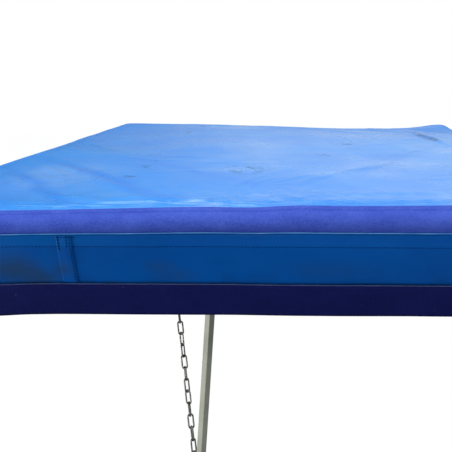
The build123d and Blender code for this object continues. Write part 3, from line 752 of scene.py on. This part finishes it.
def stitch(start, end, outward, radius):
    """One sunk stitch: a short thread, fat in the middle, from start to end."""
    start, end, outward = (np.asarray(v, float) for v in (start, end, outward))
    along = (end - start) / np.linalg.norm(end - start)
    across = np.cross(along, outward)
    verts, faces = [], []
    for t, swell in ((0.0, 0.35), (0.25, 1.0), (0.75, 1.0), (1.0, 0.35)):
        centre = start + (end - start) * t + outward * radius * (0.7 * swell - 0.5)
        for k in range(STITCH_SIDES):
            a = 2 * math.pi * k / STITCH_SIDES
            verts.append(centre + radius * swell * (across * math.cos(a) + outward * math.sin(a)))
    for ring in range(3):
        for k in range(STITCH_SIDES):
            far = (k + 1) % STITCH_SIDES
            a, b = ring * STITCH_SIDES, (ring + 1) * STITCH_SIDES
            faces.append((a + k, a + far, b + far, b + k))
    faces.append(tuple(range(STITCH_SIDES))[::-1])
    faces.append(tuple(3 * STITCH_SIDES + k for k in range(STITCH_SIDES)))
    return np.array(verts), faces


def stitch_line(points, outward, length, gap, radius):
    """Stitches along a polyline; outward is one direction, or one for each point."""
    points = np.asarray(points, float)
    outward = np.broadcast_to(np.asarray(outward, float), points.shape)
    steps = np.linalg.norm(np.diff(points, axis=0), axis=1)
    along = np.concatenate([[0], np.cumsum(steps)])
    made, at = [], 0.0
    while at + length < along[-1]:
        ends = [[np.interp(s, along, points[:, k]) for k in range(3)] for s in (at, at + length)]
        normal = np.array([np.interp(at, along, outward[:, k]) for k in range(3)])
        made.append(stitch(ends[0], ends[1], normal / np.linalg.norm(normal), radius))
        at += length + gap
    return made


def wall_stitches():
    """A row of stitches right round the mat's wall."""
    place = settle(ring_points([(WALL_INSET - 0.0004, UPPER_SEAM_Z - STITCH_DROP)]))
    outward = np.column_stack([STATIONS[:, 2:], np.zeros(len(STATIONS))])
    place = np.vstack([place, place[:1]])
    outward = np.vstack([outward, outward[:1]])
    rows = stitch_line(place, outward, 0.0042, 0.0022, 0.00045)
    return join_meshes("wall_stitches", rows, MATERIALS["thread"])


def wall_patch(points, thickness, rows, columns, name, material):
    """A flat patch lying on the wall; points are its grid on the wall's ideal face, and thickness
    is how far each stands out."""
    lying = settle(points)
    outward = outline_frame(lying)[1]
    lift = np.column_stack([outward, np.zeros(len(lying))])
    proud = lying + lift * thickness[:, None]
    return closed_sheet(name, proud, lying - lift * 0.0004, rows, columns, material)


def on_front(x, t, proud=0.0):
    """A point on the ideal front wall at x and at a share t of the wall's height."""
    z = LOWER_SEAM_Z + t * (UPPER_SEAM_Z - LOWER_SEAM_Z)
    return (x, -(HALF_Y - wall_inset(t) + proud), z)


def seam_flap():
    """The wall's lapped end on the front, sewn with two rows and bar tacks at the top."""
    low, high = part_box("front_seam_flap")
    rows, columns = 12, 26
    lean = 0.006
    across, share = np.linspace(low.x, high.x, rows), np.linspace(0.02, 0.98, columns)
    grid = [on_front(x - lean * (t - 0.5), t) for x in across for t in share]
    thickness = np.repeat(0.0002 + 0.0015 * smooth(0.0, 0.7, np.linspace(0, 1, rows)), columns)
    made = wall_patch(np.array(grid), thickness, rows, columns, "seam_flap", MATERIALS["side"])
    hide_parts("front_seam_flap")
    outward = (0, -1, 0)
    rows_of_thread = []
    rows_wanted = (
        # place, top, bottom, how far out, thread radius
        (high.x - 0.0035, 0.98, 0.02, 0.0017, 0.0006),
        (low.x + 0.003, 0.98, 0.69, 0.0004, 0.001),
        (high.x - 0.0085, 0.98, 0.7, 0.0015, 0.0009),
    )
    for x, top, bottom, proud, radius in rows_wanted:
        line = [on_front(x - lean * (t - 0.5), t, proud) for t in np.linspace(top, bottom, 24)]
        rows_of_thread += stitch_line(settle(line), outward, 0.004, 0.0012, radius)
    bar = [on_front(x, 0.955, 0.0017) for x in np.linspace(low.x - 0.003, high.x + 0.006, 12)]
    rows_of_thread += stitch_line(settle(bar), outward, 0.003, 0.0008, 0.0005)
    thread = join_meshes("seam_flap_stitches", rows_of_thread, MATERIALS["thread"])
    return [made, thread]


def top_surface(y, inset):
    """Height of the top sheet above its ideal plane: tucked in behind the front roll, and rolled
    over the edge on the other sides."""
    share = front_share(y)
    reach = np.clip(EDGE_ROLL - inset, 0, EDGE_ROLL)
    edge = np.sqrt(EDGE_ROLL**2 - reach**2) - EDGE_ROLL
    tuck = -0.006 * np.exp(-inset / 0.006)
    puff = 0.0045 * (1 - np.exp(-inset / 0.03)) * np.exp(-inset / 0.3)
    return share * tuck + (1 - share) * edge + puff


def creases(x, y):
    """Soft folds in the top sheet, long and low, and one sharper fold by the right side."""
    lines = np.zeros_like(x)
    soft = (
        ((-0.25, -0.62), 62, 0.34, 0.016, 0.0016),
        ((-0.02, -0.55), 48, 0.3, 0.014, 0.0015),
        ((0.18, -0.66), 100, 0.26, 0.018, 0.0014),
        ((-0.55, -0.6), 20, 0.22, 0.016, 0.0014),
        ((-0.7, -0.3), 155, 0.3, 0.02, 0.0013),
        ((0.00, -0.8), 8, 0.34, 0.012, 0.0016),
        ((-0.4, -0.84), 176, 0.24, 0.01, 0.0013),
        ((0.35, 0.1), 30, 0.4, 0.022, 0.0014),
    )
    for (cx, cy), turn, length, width, height in soft:
        a = math.radians(turn)
        along = (x - cx) * math.cos(a) + (y - cy) * math.sin(a)
        across = -(x - cx) * math.sin(a) + (y - cy) * math.cos(a)
        across = across + 0.012 * np.sin(along * 14)
        lines += height * np.exp(-((along / length) ** 2) - (across / width) ** 2)
    return lines + corner_fold(x, y)


CORNER_FOLD = ((0.66, 0.8), (0.615, 0.578), (0.555, 0.4), (0.535, 0.22), (0.5, 0.06), (0.489, -0.01))


def corner_fold(x, y):
    """The sharp wrinkle where the far right corner stands up from the sagging middle."""
    points = np.array(CORNER_FOLD)
    nearest = np.full(x.shape, 9.0)
    side = np.zeros(x.shape)
    along = np.zeros(x.shape)
    for n, (a, b) in enumerate(zip(points, points[1:])):
        d = b - a
        t = np.clip(((x - a[0]) * d[0] + (y - a[1]) * d[1]) / (d @ d), 0, 1)
        away = np.hypot(x - a[0] - t * d[0], y - a[1] - t * d[1])
        turn = np.sign((x - a[0]) * d[1] - (y - a[1]) * d[0])
        closer = away < nearest
        nearest = np.where(closer, away, nearest)
        side = np.where(closer, turn, side)
        along = np.where(closer, (n + t) / (len(points) - 1), along)
    fade = np.sin(np.pi * np.clip(along, 0.02, 0.98)) ** 0.5
    ridge = np.exp(-((nearest / np.where(side < 0, 0.03, 0.01)) ** 2))
    valley = np.exp(-(((nearest - 0.012) / 0.007) ** 2)) * (side > 0)
    return fade * (0.0065 * ridge - 0.0045 * valley)


CLOTH = {
    "quality": 6,
    "mass": 0.5,
    "tension_stiffness": 40,
    "compression_stiffness": 40,
    "shear_stiffness": 10,
    "bending_stiffness": 6,
    "vertex_group_mass": "seam",
    "shrink_min": -0.006,
}
CLOTH_FRAMES = 24
BED_DROP = 0.004
BUCKLE_LIMIT = 0.006


def foam_bed(sheet):
    """A copy of the sheet just below it, for it to rest on."""
    bed = sheet.copy()
    bed.data = sheet.data.copy()
    bpy.context.scene.collection.objects.link(bed)
    for v in bed.data.vertices:
        v.co.z -= BED_DROP
    bed.modifiers.new("foam", "COLLISION")
    bed.collision.thickness_outer = 0.001
    return bed


def relax_top(sheet, pinned):
    """Lets the sheet buckle a little on the foam, by cloth simulation."""
    scene = bpy.context.scene
    rest = np.array([v.co for v in sheet.data.vertices])
    group = sheet.vertex_groups.new(name="seam")
    group.add([int(i) for i in pinned], 1.0, "REPLACE")
    bed = foam_bed(sheet)
    cloth = sheet.modifiers.new("vinyl", "CLOTH")
    for key, value in CLOTH.items():
        setattr(cloth.settings, key, value)
    cloth.collision_settings.distance_min = 0.001
    cloth.point_cache.frame_start = 1
    cloth.point_cache.frame_end = CLOTH_FRAMES
    for step in range(1, CLOTH_FRAMES + 1):
        scene.frame_set(step)
    shape = sheet.evaluated_get(bpy.context.evaluated_depsgraph_get())
    shift = np.array([v.co for v in shape.data.vertices]) - rest
    sheet.modifiers.clear()
    sheet.vertex_groups.clear()
    bpy.data.objects.remove(bed)
    scene.frame_set(1)
    size = np.linalg.norm(shift, axis=1, keepdims=True)
    shift *= np.minimum(1, BUCKLE_LIMIT / np.maximum(size, 1e-9))
    sheet.data.vertices.foreach_set("co", (rest + shift).ravel())
    sheet.data.update()


def top_grid(count):
    """The top sheet's points, its seam drawn in behind the band at the front."""
    x, y = slab_grid(HALF_X - 0.0006, HALF_Y - 0.0006, CORNER_RADIUS, count, 0.045, 16)
    flat = np.column_stack([x.ravel(), y.ravel()])
    inset, outward = outline_frame(flat)
    drawn = (FRONT_SEAM_INSET - 0.0006) * front_share(flat[:, 1]) * np.exp(-inset / 0.12)
    flat -= outward * drawn[:, None]
    seam_inset = outline_frame(flat)[0] - FRONT_SEAM_INSET * front_share(flat[:, 1])
    seam_inset = np.maximum(seam_inset, 0)
    z = TOP_Z + top_surface(flat[:, 1], seam_inset)
    z += creases(flat[:, 0], flat[:, 1]) * smooth(0.0, 0.05, seam_inset)
    return settle(np.column_stack([flat, z])), seam_inset


def top_sheet():
    """The mat's top: a glossy vinyl sheet, sewn in behind the roll at the front."""
    count = 201
    points, seam_inset = top_grid(count)
    made = make_object("top_vinyl_sheet", points, grid_faces(count, count), MATERIALS["top"])
    relax_top(made, np.flatnonzero(seam_inset < 0.014))
    thicken = made.modifiers.new("thickness", "SOLIDIFY")
    thicken.thickness = 0.0012
    thicken.offset = -1
    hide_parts("cover_top_panel")
    return made


def base_sheet():
    """The underside of the cover."""
    count = 61
    x, y = slab_grid(HALF_X - 0.018, HALF_Y - 0.018, CORNER_RADIUS - 0.018, count)
    upper = at_height(x, y, BASE_Z + 0.0022)
    lower = upper - (0, 0, 0.002)
    made = closed_sheet("base_vinyl_sheet", upper, lower, count, count, MATERIALS["base"])
    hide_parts("cover_base_panel")
    return made


def foam_layer(node, name, squeeze):
    """One foam layer, a little smaller than its cover and crowned at its edges."""
    low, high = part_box(node)
    count = 41
    room = 0.012
    x, y = slab_grid(high.x - room, high.y - room, 0.03, count)
    points = []
    for z in (high.z - squeeze, low.z + 0.0006):
        flat = at_height(x, y, z)
        flat[:, 2] -= sag(flat[:, 0], flat[:, 1], np.clip((z - BASE_Z) / THICKNESS, 0, 1))
        points.append(flat)
    made = closed_sheet(name, points[0], points[1], count, count, MATERIALS["foam"])
    soften = made.modifiers.new("edges", "BEVEL")
    soften.width = 0.004
    soften.segments = 3
    soften.limit_method = "ANGLE"
    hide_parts(node)
    return made


def handle_path(y0, wall, rise, span, tab):
    """The strap's middle line seen from above: flat, bowed out, and flat again."""
    line = []
    for y in np.linspace(-span / 2 - tab, span / 2 + tab, 60):
        t = np.clip(1 - (y / (span / 2)) ** 2, 0, 1)
        line.append((wall + rise * t**1.2 * (3 - t) / 2, y0 + y))
    return line


# a square with both its diagonals, in half widths
BOX_STITCH = ((-1, -1), (1, -1), (1, 1), (-1, 1), (-1, -1), (1, 1), (1, -1), (-1, 1))


def carry_handle(node):
    """A webbing strap with sewn ends and its two box stitches."""
    low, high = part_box(node)
    side = 1 if low.x > 0 else -1
    wall = min(abs(low.x), abs(high.x))
    rise = abs(high.x - low.x) - 0.003
    y0 = (low.y + high.y) / 2
    z0, width, thick = (low.z + high.z) / 2, high.z - low.z, 0.0026
    tab = 0.045
    line = handle_path(y0, wall + 0.0014, rise, high.y - low.y - 2 * tab, tab)
    across = np.linspace(-1, 1, 11)
    upper, lower = [], []
    for x, y in line:
        t = (y - y0) / (high.y - low.y) * 2
        droop = 0.004 * max(0.0, 1 - t * t * 2)
        for u in across:
            z = z0 + u * width / 2 - droop
            crown = 0.0006 * (1 - u**4)
            upper.append((side * (x + thick / 2 + crown), y, z))
            lower.append((side * (x - thick / 2), y, z))
    name = node + "_strap"
    made = closed_sheet(name, upper, lower, len(line), len(across), MATERIALS["webbing"])
    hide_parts(node)
    rows = []
    for end in (-1, 1):
        middle = y0 + end * ((high.y - low.y) / 2 - tab / 2 - 0.002)
        half_y, half_z = tab / 2 - 0.007, width / 2 - 0.004
        face = side * (wall + 0.0014 + thick / 2 + 0.0008)
        corners = [(face, middle + half_y * u, z0 + half_z * v) for u, v in BOX_STITCH]
        for ends in zip(corners, corners[1:]):
            rows += stitch_line(ends, (side, 0, 0), 0.0032, 0.001, 0.0006)
    thread = join_meshes(node + "_stitches", rows, MATERIALS["thread"])
    return [made, thread]


def handle_patches():
    """Vinyl patches behind the handles."""
    low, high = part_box("handle_patches")
    made = []
    rows, columns = 40, 16
    middle, half = 0.45, 0.14
    for side, left_right in ((-1, "left"), (1, "right")):
        face = side * (HALF_X - WALL_INSET - 0.0002)
        for end, front_rear in ((-1, "front"), (1, "rear")):
            along = np.linspace(end * middle - half, end * middle + half, rows)
            grid = np.array([(face, y, z) for y in along for z in np.linspace(low.z, high.z, columns)])
            name = f"handle_patch_{left_right}_{front_rear}"
            proud = grid + (side * 0.0011, 0, 0)
            patch = closed_sheet(name, proud, grid, rows, columns, MATERIALS["side"])
            made.append(patch)
    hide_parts("handle_patches")
    return made


def zip_pieces():
    """Two woven tapes and a coil of nylon teeth."""
    low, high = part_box("zip_tape")
    coil_low, coil_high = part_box("zip_coil")
    face = low.y
    made = []
    columns, rows = 200, 8
    along = np.linspace(low.x, high.x, columns)
    for name, z_low, z_high in (
        ("zip_tape_lower", low.z, coil_low.z + 0.0004),
        ("zip_tape_upper", coil_high.z - 0.0004, high.z),
    ):
        up = np.linspace(z_low, z_high, rows)
        grid = np.array([(x, face + 0.0002, z) for x in along for z in up])
        ripple = 0.00018 * np.sin(grid[:, 0] * 210) * np.sin(grid[:, 2] * 90)
        upper = grid + np.column_stack([0 * ripple, 0.0007 + ripple, 0 * ripple])
        tape = closed_sheet(name, upper, grid, columns, rows, MATERIALS["tape"])
        made.append(tape)
    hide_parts("zip_tape")
    pitch = 0.0032
    teeth = []
    middle, depth = (coil_low.z + coil_high.z) / 2, face + 0.0006
    for n in range(int((coil_high.x - coil_low.x) / pitch)):
        x = coil_low.x + (n + 0.5) * pitch
        for row in (-1, 1):
            at = x + row * pitch / 4
            start, end = (at, depth, middle + row * 0.0029), (at, depth, middle - row * 0.0004)
            teeth.append(stitch(start, end, (0, 1, 0), 0.00062))
    coil = join_meshes("zip_coil_teeth", teeth, MATERIALS["coil"])
    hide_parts("zip_coil")
    made.append(coil)
    return made


mat = [upper_band(), lower_band(), side_wall()]
mat.append(piping("upper", UPPER_SEAM_Z + 0.0022, 0.0042, 0.0011, MATERIALS["light_piping"]))
mat.append(piping("lower", LOWER_SEAM_Z, 0.003, 0.001, MATERIALS["dark_piping"]))
mat += seam_flap()
mat += [wall_stitches(), top_sheet(), base_sheet()]
mat.append(foam_layer("foam_base_slab", "foam_firm_slab", 0))
mat.append(foam_layer("foam_core", "foam_soft_core", 0))
mat.append(foam_layer("foam_top_layer", "foam_soft_top", 0.009))
for handle in ("left_front", "left_rear", "right_front", "right_rear"):
    mat += carry_handle("carry_handle_" + handle)
mat += handle_patches()
mat += zip_pieces()
for piece in mat:
    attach(piece, "deck")


# --- CAD nodes' finish

ENDS, SIDES = ("front", "rear"), ("left", "right")
AT_EACH_END = (
    "rail hinge_bearer stay_bearer hinge_brackets left_leg right_leg upper_brace lower_brace"
)
FINISHES = {
    "paint": ["left_rail", "right_rail"] + [f"{end}_{part}" for end in ENDS for part in AT_EACH_END.split()],
    "zinc": (
        "pivot_bolts pivot_nuts pivot_washers board_screws zip_slider zip_pull stay_eyes"
        " front_leg_eyes rear_leg_eyes"
    ).split(),
    "chain": [f"{e}_{s}_chain_{half}" for e in ENDS for s in SIDES for half in ("upper", "lower")],
    "brass": ["breather_eyelets"],
    "plywood": ["deck_board_left", "deck_board_right"],
    "rubber": ["front_feet", "rear_feet"],
    "cap": ["rail_end_caps"],
}
for finish, names in FINISHES.items():
    for name in names:
        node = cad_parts[name]
        node.data.materials.clear()
        node.data.materials.append(MATERIALS[finish])


# --- stage and lights


def glow(name, strength, diffuse):
    """A pale matt material that also gives some light of its own."""
    m = Shader(name, 1.0)
    m.set("Base Color", (diffuse, diffuse, diffuse, 1))
    m.set("Specular IOR Level", 0.0)
    m.set("Emission Color", (1, 1, 1, 1))
    m.set("Emission Strength", strength)
    return m.material


def stage():
    """A pale floor and a plain pale surround, which only the camera sees."""
    bpy.ops.mesh.primitive_circle_add(vertices=96, radius=14, fill_type="NGON", location=(0, 0, 0))
    floor = bpy.context.object
    floor.name = "stage_floor"
    floor.data.materials.append(glow("stage_floor", 0.985, 0.05))
    floor.visible_diffuse = False
    floor.visible_glossy = False
    bpy.ops.mesh.primitive_uv_sphere_add(segments=64, ring_count=32, radius=40)
    surround = bpy.context.object
    surround.name = "stage_surround"
    surround.data.materials.append(glow("stage_surround", 1.0, 0.0))
    for ray in ("diffuse", "glossy", "shadow", "transmission", "volume_scatter"):
        setattr(surround, "visible_" + ray, False)


AMBIENT = 0.22
HAZE_DIRECTION = (0.62, 0.75, 0.2)
HAZE_RANGE = (0.3, 1.05, 0.06, 0.95)


def sky():
    """A soft surround: an even dim light, with a bright haze behind and to the right that only
    glossy surfaces pick up."""
    world = bpy.data.worlds.new("sky")
    bpy.context.scene.world = world
    world.use_nodes = True
    tree = world.node_tree
    new, link = tree.nodes.new, tree.links.new
    background = tree.nodes["Background"]
    place = new("ShaderNodeTexCoord").outputs["Generated"]
    toward = new("ShaderNodeVectorMath")
    toward.operation = "DOT_PRODUCT"
    toward.inputs[1].default_value = Vector(HAZE_DIRECTION).normalized()
    link(place, toward.inputs[0])
    haze = new("ShaderNodeMapRange")
    haze.interpolation_type = "SMOOTHSTEP"
    for name, value in zip(("From Min", "From Max", "To Min", "To Max"), HAZE_RANGE):
        haze.inputs[name].default_value = value
    link(toward.outputs["Value"], haze.inputs["Value"])
    glossy = new("ShaderNodeLightPath").outputs["Is Glossy Ray"]
    choose = new("ShaderNodeMix")
    link(glossy, choose.inputs["Factor"])
    choose.inputs["A"].default_value = AMBIENT
    link(haze.outputs["Result"], choose.inputs["B"])
    link(choose.outputs["Result"], background.inputs["Strength"])
    background.inputs["Color"].default_value = (0.74, 0.87, 1.0, 1)


def area_light(name, place, target, size, power):
    light = bpy.data.lights.new(name, "AREA")
    light.size = size
    light.energy = power
    lamp = bpy.data.objects.new(name, light)
    lamp.location = place
    lamp.rotation_euler = (Vector(target) - Vector(place)).to_track_quat("-Z", "Y").to_euler()
    bpy.context.scene.collection.objects.link(lamp)
    return lamp


CAMERA_PITCH = 17.9  # degrees below level
CAMERA_ROLL = 0.3
CAMERA_LENS = 33.45
SENSOR = 36.0


def camera():
    """Low over the middle of the front edge, left of centre, looking level with the sides."""
    data = bpy.data.cameras.new("camera")
    data.sensor_width = SENSOR
    data.lens = CAMERA_LENS
    data.clip_end = 200
    eye = bpy.data.objects.new("camera", data)
    eye.location = (-0.333, -HALF_Y - 0.665, TOP_Z + 0.185)
    pitch = Euler((math.radians(90 - CAMERA_PITCH), 0, 0)).to_quaternion()
    eye.rotation_mode = "QUATERNION"
    eye.rotation_quaternion = pitch @ Quaternion((0, 0, 1), math.radians(CAMERA_ROLL))
    bpy.context.scene.collection.objects.link(eye)
    bpy.context.scene.camera = eye


stage()
sky()
area_light("key_left", (-6.5, -3.0, 1.3), (-0.2, -0.5, 0.7), 2.6, 330)
area_light("overhead", (-0.6, -0.2, 4.4), (0, 0, 1), 2.8, 84)
area_light("front_high", (-0.1, -3.6, 3.9), (0, -0.8, 1.0), 2.0, 58)
area_light("front_low", (2.4, -3.4, 0.6), (0.2, -0.9, 1.0), 1.6, 14)
back_fill = area_light("back_fill", (0.6, 4.6, 1.1), (0.0, 0.9, 0.95), 2.4, 70)
back_fill.visible_glossy = False
camera()
bpy.context.scene.view_settings.view_transform = "Standard"

bpy.context.view_layer.update()
